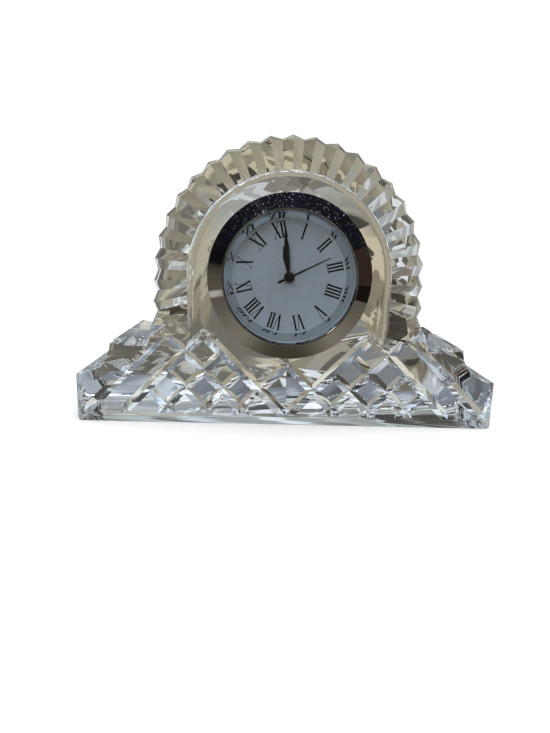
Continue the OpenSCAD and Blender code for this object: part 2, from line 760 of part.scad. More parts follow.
// Leaf under the cell that comes down on the end of the board
module contact_minus() {
    end = polar(board_r - 1.8, 129);
    leaf_z = cell_z + 0.02;
    leaf_t = 0.2;
    color(brass_tint) at_dial() {
        translate([0, 0, leaf_z]) linear_extrude(height = leaf_t) {
            link_2d(cell_at, end, 1.3);
            translate(cell_at) circle(r = 1.8, $fn = 48);
        }
        translate(concat(end - [0.4, 0.4], board_z + board_t + 0.01))
            cube([0.8, 0.8, leaf_z + leaf_t - 0.05 - (board_z + board_t + 0.01)]);
    }
}

// Tab at the side of the cell, with its foot on the board
module contact_plus() {
    end = polar(board_r - 3.2, 134);
    tab = cell_at + [-cell_d / 2 - 0.14, 0];
    level = board_z + board_t + 0.01;
    color(brass_tint) at_dial() {
        translate([0, 0, level]) linear_extrude(height = 0.18) link_2d(tab + [-0.4, 0], end, 1);
        translate([tab[0] - 0.12, tab[1] - 0.5, level]) cube([0.2, 1, 0.8]);
    }
}

// Back of the insert

module back_cover() {
    color(black_tint) at_dial() difference() {
        union() {
            shaft(case_in_r - 0.06, cover_z, cover_z - cover_t);
            ring(case_in_r - 0.06, case_in_r - case_lip_w, back_plate_z - plate_t - 0.02, cover_z - 0.1);
            translate(setting_at) shaft(1.5, cover_z, cover_z + 0.5);
        }
        translate(cell_at) shaft(hatch_hole_r, cover_z + 1.4, cover_z - cover_t - 1);
        translate(setting_at) shaft(0.7 + arbor_gap, cover_z + 1.4, cover_z - cover_t - 1);
    }
}

// Round hatch over the cell, with a flange, a pressing boss and a notch for a fingernail
module cell_hatch() {
    flange_z = cover_z - cover_t - 0.03;
    color([0.16, 0.16, 0.17]) at_dial() translate(concat(cell_at, 0)) difference() {
        union() {
            shaft(hatch_r, flange_z, flange_z - 0.55);
            shaft(hatch_hole_r - fit_gap, flange_z, cover_z + 0.1);
            shaft(2.2, cover_z + 0.1, cell_z - cell_h - 0.03);
        }
        rotate([0, 0, 70]) translate([hatch_r + 0.3, 0, 0]) shaft(1.1, flange_z - 1, flange_z - 0.2);
        for (s = [-1, 0, 1]) rotate([0, 0, 70]) translate([0, s * 1.4, 0])
            translate([-2.6, -0.2, flange_z - 0.7]) cube([5.2, 0.4, 0.35]);
    }
}

// Arbor that reaches from the knob through the plates to the minute wheel
module setting_pinion() {
    color(steel_tint) at_dial() translate(setting_at) {
        translate([0, 0, front_plate_z + 0.2]) leaf_pinion(setting_n, minute_m, 0.7, setting_phase);
        shaft(0.5, front_plate_z + 1.2, front_plate_z - plate_t - 0.3);
        shaft(0.7, front_plate_z - plate_t - 0.2, setting_end_z);
    }
}

module setting_knob() {
    top = -case_depth + 0.35;
    h = 2.3;
    ribs = 18;
    color(black_tint) at_dial() translate(setting_at) difference() {
        shaft(knob_r, top, top - h);
        for (i = [0:ribs - 1]) rotate([0, 0, i * 360 / ribs]) translate([knob_r + 0.22, 0, 0])
            shaft(0.42, top - h - 1, top + 1);
        shaft(0.705, top + 1, setting_end_z - 0.02);
        translate([-knob_r - 1, -0.35, top - h - 0.5]) cube([2 * knob_r + 2, 0.7, 0.9]);
    }
}

// Wheel train

module hour_wheel() {
    color(brass_tint) at_dial() difference() {
        union() {
            translate([0, 0, hour_wheel_z]) toothed(hour_n, hour_m, 0.35, 0);
            shaft(hour_tube_r, hour_wheel_z, hour_hand_z + hand_t);
        }
        shaft(cannon_r + arbor_gap, hour_wheel_z - 1, hour_hand_z + 1);
    }
}

module minute_wheel() {
    color(brass_tint) at_dial() translate(minute_at) {
        translate([0, 0, minute_wheel_z]) toothed(minute_n, minute_m, 0.35, minute_phase);
        translate([0, 0, minute_wheel_z + 0.33]) leaf_pinion(minute_pinion_n, hour_m, 0.95, minute_pinion_phase);
        shaft(0.3, front_pivot_z - 0.05, minute_wheel_z + 1.55);
    }
}

module cannon_pinion() {
    color(brass_tint) at_dial() difference() {
        union() {
            translate([0, 0, cannon_z]) leaf_pinion(cannon_n, minute_m, 0.85, 0);
            shaft(cannon_r, cannon_z, minute_hand_z + hand_t);
        }
        shaft(centre_tube_r + 0.005, cannon_z - 0.9, minute_hand_z + 0.6);
    }
}

module centre_wheel() {
    color(brass_tint) at_dial() difference() {
        union() {
            translate([0, 0, centre_z]) toothed(centre_n, centre_m, wheel_t, 0);
            shaft(centre_tube_r, centre_z - 0.15, minute_hand_z + 0.05);
            shaft(0.9, centre_z - 0.1, centre_z + 0.44);
        }
        shaft(seconds_arbor_r + arbor_gap, centre_z - 1, minute_hand_z + 1);
        for (a = [30:60:330]) translate(polar(3.1 * train_scale, a)) shaft(1.05 * train_scale, centre_z - 0.5, centre_z + 0.5);
    }
}

module third_wheel() {
    color(brass_tint) at_dial() translate(third_at) {
        difference() {
            translate([0, 0, third_z]) toothed(third_n, third_m, wheel_t, third_phase);
            for (a = [0:72:288]) translate(polar(3 * train_scale, a)) shaft(train_scale, third_z - 0.2, third_z + 0.8);
        }
        translate([0, 0, centre_z - 0.25]) leaf_pinion(third_pinion_n, centre_m, 0.65, third_pinion_phase);
        shaft(0.42, centre_z - 0.2, third_z - 0.6);
        shaft(0.2, front_pivot_z, back_pivot_z);
    }
}

module seconds_wheel() {
    color(brass_tint) at_dial() {
        translate([0, 0, seconds_z]) toothed(seconds_n, step_m, wheel_t, 0);
        translate([0, 0, seconds_z + 0.25]) leaf_pinion(seconds_pinion_n, third_m, 0.95, 0);
        shaft(seconds_arbor_r, seconds_z - 0.8, second_hand_z + 0.23);
        shaft(0.2, seconds_z - 0.8, back_pivot_z);
        shaft(0.5, seconds_z, seconds_z - 0.7);
    }
}

module intermediate_wheel() {
    color([0.95, 0.93, 0.9]) at_dial() translate(inter_at) {
        translate([0, 0, inter_z]) toothed(inter_n, step_m, 0.25, 0);
        translate([0, 0, inter_z + 0.15]) leaf_pinion(inter_pinion_n, step_m, 1.0, inter_pinion_phase);
        shaft(0.3, middle_plate_z - 0.6, inter_z - 0.35);
        shaft(0.2, middle_pivot_z, back_pivot_z);
    }
}

module rotor() {
    color([0.35, 0.36, 0.4]) at_dial() translate(rotor_at) {
        shaft(1.45, rotor_z + 2, rotor_z + 0.9);
        translate([0, 0, rotor_z]) leaf_pinion(rotor_n, step_m, 0.95, rotor_phase);
        shaft(0.2, middle_pivot_z, back_pivot_z);
    }
}

crystal_body();
bezel();
lens();
reflector_ring();
insert_case();
friction_band();
dial();
hour_hand();
minute_hand();
second_hand();
front_plate();
middle_plate();
back_plate();
plate_screws();
hour_wheel();
minute_wheel();
cannon_pinion();
centre_wheel();
third_wheel();
seconds_wheel();
intermediate_wheel();
rotor();
stator();
stator_screws();
coil();
circuit_board();
quartz_can();
chip();
cell();
contact_minus();
contact_plus();
back_cover();
cell_hatch();
setting_pinion();
setting_knob();
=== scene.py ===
"""Visual model of a small cut-crystal mantel clock with a press-in quartz insert.

Metres, +Z up, origin under the middle of the foot, the dial faces -Y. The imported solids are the
frame; this file gives them their finishes and adds what is too fine for the solids.
"""
import logging
import math
from dataclasses import dataclass, field
from enum import Enum
from typing import Dict, List, Optional, Tuple, Union

import bmesh
import bpy
import numpy as np
from mathutils import Matrix, Vector


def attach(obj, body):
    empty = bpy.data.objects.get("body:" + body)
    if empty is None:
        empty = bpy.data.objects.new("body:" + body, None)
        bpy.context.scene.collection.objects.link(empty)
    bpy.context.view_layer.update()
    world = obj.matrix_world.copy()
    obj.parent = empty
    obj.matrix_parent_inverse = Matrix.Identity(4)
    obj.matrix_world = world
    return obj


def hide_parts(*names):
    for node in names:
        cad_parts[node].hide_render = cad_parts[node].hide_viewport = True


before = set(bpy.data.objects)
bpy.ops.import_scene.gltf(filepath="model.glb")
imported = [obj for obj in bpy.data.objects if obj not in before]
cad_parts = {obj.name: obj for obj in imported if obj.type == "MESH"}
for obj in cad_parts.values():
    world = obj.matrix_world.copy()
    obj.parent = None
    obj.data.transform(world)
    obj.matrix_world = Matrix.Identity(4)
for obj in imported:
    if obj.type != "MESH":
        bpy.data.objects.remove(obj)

LOG = logging.getLogger("mantel_clock")
MM = 0.001
UM = 0.000001
AXIS_Z = 40.7 * MM

Colour = Tuple[float, float, float]
Vec3 = Tuple[float, float, float]
Pair = Tuple[float, float]
Socket = bpy.types.NodeSocket
Stops = Tuple[Tuple[float, Colour], ...]

DIAL_MIDDLE: Vec3 = (0.0, 0.0, AXIS_Z)


# Mesh making


def new_object(name: str, data: bpy.types.ID) -> bpy.types.Object:
    """Links a new object to the scene.

    Args:
        name: name of the object.
        data: its mesh, lamp or camera.

    Returns:
        The new object.
    """
    made = bpy.data.objects.new(name, data)
    bpy.context.scene.collection.objects.link(made)
    return made


def mesh_object(name: str, points: np.ndarray, quads: np.ndarray, smooth: bool = True) -> bpy.types.Object:
    """Puts computed points and faces into a new object at the origin.

    Args:
        name: name of the piece.
        points: array of n by 3 places, in metres.
        quads: array of faces by their corner numbers.
        smooth: True for a rounded shading.

    Returns:
        The new object, linked to the scene.
    """
    mesh = bpy.data.meshes.new(name)
    mesh.from_pydata(points.tolist(), [], quads.tolist())
    mesh.update()
    mesh.polygons.foreach_set("use_smooth", np.full(len(mesh.polygons), smooth))
    return new_object(name, mesh)


def grid_faces(rows: int, cols: int, wrap: bool) -> np.ndarray:
    """Quads of a grid of rows by cols points, face (i, j) joining the points (i, j) and (i + 1, j + 1).

    Args:
        rows: number of points along the first parameter.
        cols: number of points along the second parameter.
        wrap: True where the last column joins the first one again.

    Returns:
        Array of corner numbers, four to a face.
    """
    i, j = np.meshgrid(np.arange(rows - 1), np.arange(cols if wrap else cols - 1), indexing="ij")
    k = (j + 1) % cols
    corners = [i * cols + j, i * cols + k, (i + 1) * cols + k, (i + 1) * cols + j]
    return np.stack(corners, axis=-1).reshape(-1, 4)


def flat_sheet(name: str, x: np.ndarray, y: np.ndarray, z: float) -> bpy.types.Object:
    """Makes a level sheet of the places (x, y, z), with x and y running over a grid.

    Args:
        name: name of the sheet.
        x: places along the first side.
        y: places along the second side.
        z: its level.

    Returns:
        The new object.
    """
    grid = np.stack(np.broadcast_arrays(x[None, :], y[:, None], z), axis=-1)
    return mesh_object(name, grid.reshape(-1, 3), grid_faces(len(y), len(x), False))


def merged_copy(source: bpy.types.Object, name: str, gap: float = 2 * UM,
                flat: float = math.radians(0.4)) -> bpy.types.Object:
    """Copies a solid's mesh and joins its loose triangles into plain faces.

    Args:
        source: the solid to copy.
        name: name of the new piece.
        gap: corners nearer than this are one corner.
        flat: faces that meet at less than this angle are one face.

    Returns:
        The new object, its flat regions made single faces.
    """
    work = bmesh.new()
    work.from_mesh(source.data)
    bmesh.ops.remove_doubles(work, verts=work.verts, dist=gap)
    bmesh.ops.dissolve_degenerate(work, dist=gap, edges=work.edges)
    bmesh.ops.dissolve_limit(work, angle_limit=flat, verts=work.verts, edges=work.edges)
    bmesh.ops.recalc_face_normals(work, faces=work.faces)
    mesh = bpy.data.meshes.new(name)
    work.to_mesh(mesh)
    work.free()
    return new_object(name, mesh)


# Finishes

BRUSH_STRETCH = 14.0  # brushed marks are this much finer along Z than along X
CLOUD_SHARE = 0.12  # scale of the cloudy tint, as a share of the fine pattern's
ROUGH_LOW, ROUGH_HIGH = 0.8, 1.25  # the roughness varies between these shares of its value
SMOOTHEST = 0.02  # the roughness never starts lower


class Grain(Enum):
    """How a surface was made, which sets its fine pattern."""

    POLISHED = "polished"
    BRUSHED = "brushed"
    TURNED = "turned"
    MOULDED = "moulded"
    PAINTED = "painted"


@dataclass
class NodeDesk:
    """A new material with its shader, and short ways to add and link nodes."""

    name: str
    material: bpy.types.Material = field(init=False)
    tree: bpy.types.NodeTree = field(init=False)
    shader: bpy.types.Node = field(init=False)

    def __post_init__(self) -> None:
        """Makes the material and finds its shader."""
        self.material = bpy.data.materials.new(self.name)
        self.material.use_nodes = True
        self.tree = self.material.node_tree
        self.shader = self.tree.nodes["Principled BSDF"]

    def add(self, kind: str, **values: object) -> bpy.types.Node:
        """Adds a node.

        Args:
            kind: Blender's name of the node's type.
            values: properties of the node, set as they are.

        Returns:
            The node.
        """
        node = self.tree.nodes.new(kind)
        for key, value in values.items():
            setattr(node, key, value)
        return node

    def link(self, source: Socket, target: Socket) -> None:
        """Links two sockets."""
        self.tree.links.new(source, target)

    def place(self, centre: Vec3 = (0.0, 0.0, 0.0), stretch: Vec3 = (1.0, 1.0, 1.0)) -> Socket:
        """Object coordinates p taken as (p - centre) times stretch, axis by axis.

        Args:
            centre: place that is counted as zero.
            stretch: factor of each axis.

        Returns:
            The vector socket.
        """
        coords = self.add("ShaderNodeTexCoord")
        mapping = self.add("ShaderNodeMapping")
        mapping.inputs["Location"].default_value = [-c * s for c, s in zip(centre, stretch)]
        mapping.inputs["Scale"].default_value = stretch
        self.link(coords.outputs["Object"], mapping.inputs["Vector"])
        return mapping.outputs["Vector"]

    def axes(self, vector: Socket) -> Dict[str, Socket]:
        """Splits a vector.

        Args:
            vector: the vector or colour socket.

        Returns:
            Its three parts by the names X, Y and Z.
        """
        node = self.add("ShaderNodeSeparateXYZ")
        self.link(vector, node.inputs["Vector"])
        return {key: node.outputs[key] for key in "XYZ"}

    def reckon(self, operation: str, *values: Union[Socket, float]) -> Socket:
        """Works out a number.

        Args:
            operation: Blender's name of the sum.
            values: sockets or plain numbers, in the order of the node's inputs.

        Returns:
            The socket of the result.
        """
        node = self.add("ShaderNodeMath", operation=operation)
        for target, value in zip(node.inputs, values):
            if isinstance(value, Socket):
                self.link(value, target)
            else:
                target.default_value = value
        return node.outputs["Value"]

    def outness(self, centre: Vec3, stretch: Vec3, across: str, along: str) -> Socket:
        """How far out a place lies in a rectangle, as the larger of |(p - centre) stretch| on two axes.

        Args:
            centre: middle of the rectangle.
            stretch: one over its half size on each axis.
            across: name of the first axis.
            along: name of the second axis.

        Returns:
            A number that is 0 in the middle and 1 at the edge.
        """
        apart = self.add("ShaderNodeVectorMath", operation="ABSOLUTE")
        self.link(self.place(centre, stretch), apart.inputs[0])
        parts = self.axes(apart.outputs["Vector"])
        return self.reckon("MAXIMUM", parts[across], parts[along])

    def noise(self, vector: Socket, scale: float, detail: float = 3.0) -> Socket:
        """Adds a noise.

        Args:
            vector: the place that it is read at.
            scale: its fineness per metre.
            detail: number of finer layers in it.

        Returns:
            Its value, mostly between 0.3 and 0.7.
        """
        node = self.add("ShaderNodeTexNoise")
        node.inputs["Scale"].default_value = scale
        node.inputs["Detail"].default_value = detail
        self.link(vector, node.inputs["Vector"])
        return node.outputs["Fac"]

    def span(self, value: Socket, low: float, high: float, start: float = 0.3, end: float = 0.7) -> Socket:
        """Maps a number in a straight line, without going past the ends.

        Args:
            value: the number.
            low: result at start.
            high: result at end.
            start: first end of the number's range.
            end: other end of the number's range.

        Returns:
            The socket of the result.
        """
        node = self.add("ShaderNodeMapRange")
        for key, number in (("From Min", start), ("From Max", end), ("To Min", low), ("To Max", high)):
            node.inputs[key].default_value = number
        self.link(value, node.inputs["Value"])
        return node.outputs["Result"]

    def blend(self, factor: Socket, first: Colour, second: Colour) -> Socket:
        """Blends two plain colours.

        Args:
            factor: 0 for the first, 1 for the second.
            first: the first colour.
            second: the second colour.

        Returns:
            The colour socket.
        """
        node = self.add("ShaderNodeMix", data_type="RGBA")
        node.inputs["A"].default_value = (*first, 1.0)
        node.inputs["B"].default_value = (*second, 1.0)
        self.link(factor, node.inputs["Factor"])
        return node.outputs["Result"]

    def ramp(self, value: Socket, stops: Stops) -> Socket:
        """Colour that follows a number through stops.

        Args:
            value: number from 0 to 1.
            stops: places from 0 to 1 with their colours, in order.

        Returns:
            The colour socket.
        """
        node = self.add("ShaderNodeValToRGB")
        while len(node.color_ramp.elements) < len(stops):
            node.color_ramp.elements.new(0.5)
        for stop, (at, tint) in zip(node.color_ramp.elements, stops):
            stop.position = at
            stop.color = (*tint, 1.0)
        self.link(value, node.inputs["Fac"])
        return node.outputs["Color"]

    def merge(self, factor: Optional[Socket], first: Socket, second: Socket, how: str = "MIX") -> Socket:
        """Merges two colour sockets.

        Args:
            factor: how much of the second goes in; fully where there is none.
            first: the first colour.
            second: the second colour.
            how: Blender's name of the way to mix.

        Returns:
            The colour socket.
        """
        node = self.add("ShaderNodeMix", data_type="RGBA", blend_type=how)
        node.inputs["Factor"].default_value = 1.0
        if factor is not None:
            self.link(factor, node.inputs["Factor"])
        self.link(first, node.inputs["A"])
        self.link(second, node.inputs["B"])
        return node.outputs["Result"]

    def relief(self, height: Socket, depth: float, strength: float = 0.5) -> None:
        """Gives the shader a bump.

        Args:
            height: the pattern, from 0 to 1.
            depth: its depth in metres.
            strength: how much of it shows.
        """
        node = self.add("ShaderNodeBump")
        node.inputs["Distance"].default_value = depth
        node.inputs["Strength"].default_value = strength
        self.link(height, node.inputs["Height"])
        self.link(node.outputs["Normal"], self.shader.inputs["Normal"])


@dataclass(frozen=True)
class Finish:
    """A plain finish: its colour, gloss and the fine pattern that its making leaves."""

    name: str
    colour: Colour
    grain: Grain
    roughness: float = 0.4
    metallic: float = 0.0
    vary: float = 0.08
    scale: float = 2600.0
    depth: float = 10 * UM
    coat: float = 0.0
    gloss: float = 0.5
    # share of pale specks painted on the upper side as glints and haze
    painted_glints: float = 0.0

    def make(self) -> bpy.types.Material:
        """Builds the material.

        Returns:
            The finished material.
        """
        desk = NodeDesk(self.name)
        stretch = (1.0, 1.0, BRUSH_STRETCH if self.grain is Grain.BRUSHED else 1.0)
        where = desk.place(DIAL_MIDDLE, stretch)
        cloud = desk.noise(where, self.scale * CLOUD_SHARE, 4.0)
        fine = self.pattern(desk, where)
        dark = tuple(c * (1 - self.vary) for c in self.colour)
        light = tuple(min(1.0, c * (1 + self.vary)) for c in self.colour)
        tint = desk.blend(desk.span(cloud, 0, 1), dark, light)
        desk.shader.inputs["Metallic"].default_value = self.metallic
        if self.painted_glints > 0.0:
            tint = self.glinted(desk, where, tint)
        desk.link(tint, desk.shader.inputs["Base Color"])
        low, high = max(SMOOTHEST, self.roughness * ROUGH_LOW), min(1.0, self.roughness * ROUGH_HIGH)
        desk.link(desk.span(fine, low, high), desk.shader.inputs["Roughness"])
        desk.shader.inputs["Coat Weight"].default_value = self.coat
        desk.shader.inputs["Specular IOR Level"].default_value = self.gloss
        desk.relief(fine, self.depth)
        return desk.material

    def pattern(self, desk: NodeDesk, where: Socket) -> Socket:
        """The fine pattern: rings about the dial axis if the surface was turned, or else a noise.

        Args:
            desk: the material's desk.
            where: the place that it is read at.

        Returns:
            The pattern's value.
        """
        if self.grain is not Grain.TURNED:
            return desk.noise(where, self.scale)
        rings = desk.add("ShaderNodeTexWave", wave_type="RINGS", rings_direction="Y")
        rings.inputs["Scale"].default_value = self.scale
        rings.inputs["Distortion"].default_value = 2.0
        desk.link(where, rings.inputs["Vector"])
        return rings.outputs["Fac"]

    def glinted(self, desk: NodeDesk, where: Socket, tint: Socket) -> Socket:
        """Strews pale specks on the upper side as painted glints and haze, which begin 6 mm over the axis and
        are full at 16 mm.

        Args:
            desk: the material's desk.
            where: the place, counted from the dial's middle.
            tint: the clean colour.

        Returns:
            The colour with the painted glints. The specks are also made dull instead of metallic.
        """
        # painted glints and haze: pale bluish specks on the upper side only
        glint_grains = desk.span(desk.noise(where, 3000.0, 2.0), 0.0, self.painted_glints, 0.65, 0.76)
        height = desk.span(desk.axes(where)["Z"], 0.0, 1.0, 6 * MM, 16 * MM)
        glint = desk.reckon("MULTIPLY", glint_grains, height)
        desk.link(desk.span(glint, 1.0, 0.0, 0.0, 1.0), desk.shader.inputs["Metallic"])
        return desk.merge(glint, tint, desk.blend(glint, (0.8, 0.84, 0.9), (0.95, 0.97, 1.0)))


@dataclass(frozen=True)
class CrystalFinish:
    """Polished crystal with the faint waves of pressed glass, its tint painted refraction: warm in the arch
    for the tan room seen through it, cool in the foot for the pale table under it.
    """

    name: str
    warm: Colour
    cool: Colour
    turn_low: float = 9.5 * MM
    turn_high: float = 14.5 * MM
    index: float = 1.54
    wave_scale: float = 95.0
    wave_depth: float = 0.7 * MM
    wave_share: float = 0.05

    def make(self) -> bpy.types.Material:
        """Builds the material.

        Returns:
            The finished material.
        """
        desk = NodeDesk(self.name)
        where = desk.place()
        # painted refraction: the clear crystal is tinted cool low down and warm higher up
        height = desk.span(desk.axes(where)["Z"], 0.0, 1.0, self.turn_low, self.turn_high)
        desk.link(desk.blend(height, self.cool, self.warm), desk.shader.inputs["Base Color"])
        desk.shader.inputs["Roughness"].default_value = 0.01
        desk.shader.inputs["IOR"].default_value = self.index
        desk.shader.inputs["Transmission Weight"].default_value = 1.0
        desk.relief(desk.noise(where, self.wave_scale, 0.0), self.wave_depth, self.wave_share)
        return desk.material


@dataclass(frozen=True)
class LensFinish:
    """Clear flat lens."""

    name: str

    def make(self) -> bpy.types.Material:
        """Builds the material.

        Returns:
            The finished material.
        """
        desk = NodeDesk(self.name)
        desk.shader.inputs["Base Color"].default_value = (0.97, 0.985, 0.99, 1.0)
        desk.shader.inputs["Roughness"].default_value = 0.0
        desk.shader.inputs["IOR"].default_value = 1.45
        desk.shader.inputs["Transmission Weight"].default_value = 1.0
        desk.relief(desk.noise(desk.place(), 60.0, 1.0), 100 * UM, 0.02)
        return desk.material


@dataclass(frozen=True)
class BoardFinish:
    """Green board with paler tracks, round the dial axis."""

    name: str

    def make(self) -> bpy.types.Material:
        """Builds the material.

        Returns:
            The finished material.
        """
        desk = NodeDesk(self.name)
        rings = desk.add("ShaderNodeTexWave", wave_type="RINGS", rings_direction="Y", wave_profile="SAW")
        rings.inputs["Scale"].default_value = 330.0
        rings.inputs["Distortion"].default_value = 5.0
        rings.inputs["Detail Scale"].default_value = 60.0
        desk.link(desk.place(DIAL_MIDDLE), rings.inputs["Vector"])
        track = desk.span(rings.outputs["Fac"], 0.0, 1.0, 0.55, 0.6)
        green = desk.blend(track, (0.012, 0.09, 0.04), (0.05, 0.24, 0.1))
        desk.link(green, desk.shader.inputs["Base Color"])
        desk.shader.inputs["Roughness"].default_value = 0.28
        desk.relief(track, 30 * UM)
        return desk.material


AnyFinish = Union[Finish, CrystalFinish, LensFinish, BoardFinish]

BRASS = Finish("wheel_brass", (0.78, 0.56, 0.24), Grain.TURNED, 0.24, 1.0, 0.06, 2400.0, 4 * UM)
STEEL = Finish("bright_steel", (0.6, 0.61, 0.63), Grain.BRUSHED, 0.26, 1.0, 0.07, 2600.0, 3 * UM)
# the chrome's pale specks on its upper side are painted glints and haze
CHROME = Finish("chrome_plate", (0.62, 0.62, 0.62), Grain.POLISHED, 0.035, 1.0, 0.05, 1500.0, 0.6 * UM,
                painted_glints=0.9)
MIRROR = Finish("funnel_plate", (0.74, 0.78, 0.8), Grain.POLISHED, 0.06, 1.0, 0.04, 1500.0, 0.8 * UM)
DIAL_PAINT = Finish("dial_paint", (0.68, 0.73, 0.80), Grain.PAINTED, 0.42, 0.0, 0.03, 4200.0, 6 * UM,
                    coat=0.15)
BLACK_PAINT = Finish("hand_paint", (0.006, 0.006, 0.007), Grain.PAINTED, 0.42, 0.0, 0.2, 5000.0, 4 * UM,
                     gloss=0.2)
PRINT_INK = Finish("numeral_ink", (0.004, 0.004, 0.005), Grain.PAINTED, 0.6, 0.0, 0.2, 6000.0, 3 * UM,
                   gloss=0.1)
CASE_BLACK = Finish("case_black", (0.022, 0.022, 0.024), Grain.MOULDED, 0.48, 0.0, 0.15, 5200.0, 20 * UM)
HATCH_BLACK = Finish("hatch_black", (0.032, 0.032, 0.034), Grain.MOULDED, 0.42, 0.0, 0.15, 4200.0, 20 * UM)
KNOB_BLACK = Finish("knob_black", (0.018, 0.018, 0.02), Grain.MOULDED, 0.36, 0.0, 0.15, 4200.0, 15 * UM)
RUBBER = Finish("band_rubber", (0.05, 0.05, 0.052), Grain.MOULDED, 0.72, 0.0, 0.18, 3200.0, 30 * UM)
CREAM = Finish("cream_moulding", (0.74, 0.69, 0.56), Grain.MOULDED, 0.45, 0.0, 0.05, 3600.0, 10 * UM)
WHITE = Finish("white_moulding", (0.83, 0.82, 0.79), Grain.MOULDED, 0.4, 0.0, 0.04, 3600.0, 10 * UM)
MAGNET = Finish("magnet_compound", (0.06, 0.06, 0.065), Grain.MOULDED, 0.5, 0.0, 0.2, 6000.0, 10 * UM)
COPPER = Finish("enamelled_copper", (0.72, 0.3, 0.12), Grain.TURNED, 0.3, 1.0, 0.08, 2400.0, 6 * UM)
RESIN = Finish("chip_resin", (0.02, 0.02, 0.022), Grain.MOULDED, 0.55, 0.0, 0.2, 6000.0, 10 * UM)
CELL = Finish("plated_cell", (0.7, 0.7, 0.68), Grain.BRUSHED, 0.3, 1.0, 0.05, 2000.0, 3 * UM)
# the crystal's warm and cool tints are painted refraction of the room and the table
CRYSTAL = CrystalFinish("cut_crystal", (0.93, 0.92, 0.88), (0.92, 0.94, 0.96))
LENS = LensFinish("clear_lens")
BOARD = BoardFinish("printed_board")


@dataclass
class Paintbox:
    """Makes each finish once and puts it on solids and pieces."""

    made: Dict[str, bpy.types.Material] = field(default_factory=dict)

    def get(self, finish: AnyFinish) -> bpy.types.Material:
        """Finds the material of a finish, which is made at its first use.

        Args:
            finish: the finish.

        Returns:
            Its material.
        """
        if finish.name not in self.made:
            self.made[finish.name] = finish.make()
        return self.made[finish.name]

    def dress(self, piece: bpy.types.Object, finish: AnyFinish) -> None:
        """Puts one finish on the whole of an object."""
        piece.data.materials.clear()
        piece.data.materials.append(self.get(finish))

    def dress_nodes(self, finish: AnyFinish, *names: str) -> None:
        """Puts a finish on solids.

        Args:
            finish: the finish.
            names: names of the solids.
        """
        for name in names:
            self.dress(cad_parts[name], finish)
            LOG.info("%s: %s", name, finish.name)


def settle(piece: bpy.types.Object, body: str) -> bpy.types.Object:
    """Lets a piece ride on a body.

    Args:
        piece: the finished piece.
        body: name of the body that carries it.

    Returns:
        The same piece.
    """
    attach(piece, body)
    LOG.info("%s rides on %s", piece.name, body)
    return piece


# Sub-assemblies

Stroke = Tuple[float, float, float, float, float]
LETTER_ROOM: Dict[str, float] = {"I": 0.88 * MM, "V": 2.0 * MM, "X": 2.15 * MM}


@dataclass
class DialFrame:
    """Place of the insert: its axis, its turn in the bore, and levels counted from the crystal face."""

    face_y: float = -21.0 * MM
    axis_z: float = AXIS_Z
    turn: float = math.radians(13.3)

    def world(self, local: np.ndarray) -> np.ndarray:
        """Turns dial places into places of the clock.

        x' = x cos t - y sin t and z' = axis + x sin t + y cos t, and the level runs towards -Y.

        Args:
            local: array of n by 3: right, up and towards the viewer, in metres.

        Returns:
            Array of n by 3 places in the frame.
        """
        c, s = math.cos(self.turn), math.sin(self.turn)
        x = local[:, 0] * c - local[:, 1] * s
        z = local[:, 0] * s + local[:, 1] * c
        return np.stack([x, self.face_y - local[:, 2], self.axis_z + z], axis=1)


@dataclass
class CrystalBlock:
    """The block of cut crystal, with the fine rounding that polishing leaves on its edges."""

    edge_w: float = 0.1 * MM
    edge_angle: float = math.radians(14)

    def build(self, box: Paintbox) -> None:
        """Makes the polished block in place of the solid: a copy with every sharp edge rounded.

        Args:
            box: where its finish comes from.
        """
        block = merged_copy(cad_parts["crystal_body"], "crystal_block")
        block.data.polygons.foreach_set("use_smooth", np.full(len(block.data.polygons), True))
        bevel = block.modifiers.new("edge", "BEVEL")
        bevel.width = self.edge_w
        bevel.segments = 2
        bevel.limit_method = "ANGLE"
        bevel.angle_limit = self.edge_angle
        bevel.use_clamp_overlap = True
        bevel.harden_normals = True
        box.dress(block, CRYSTAL)
        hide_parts("crystal_body")
        settle(block, "crystal")


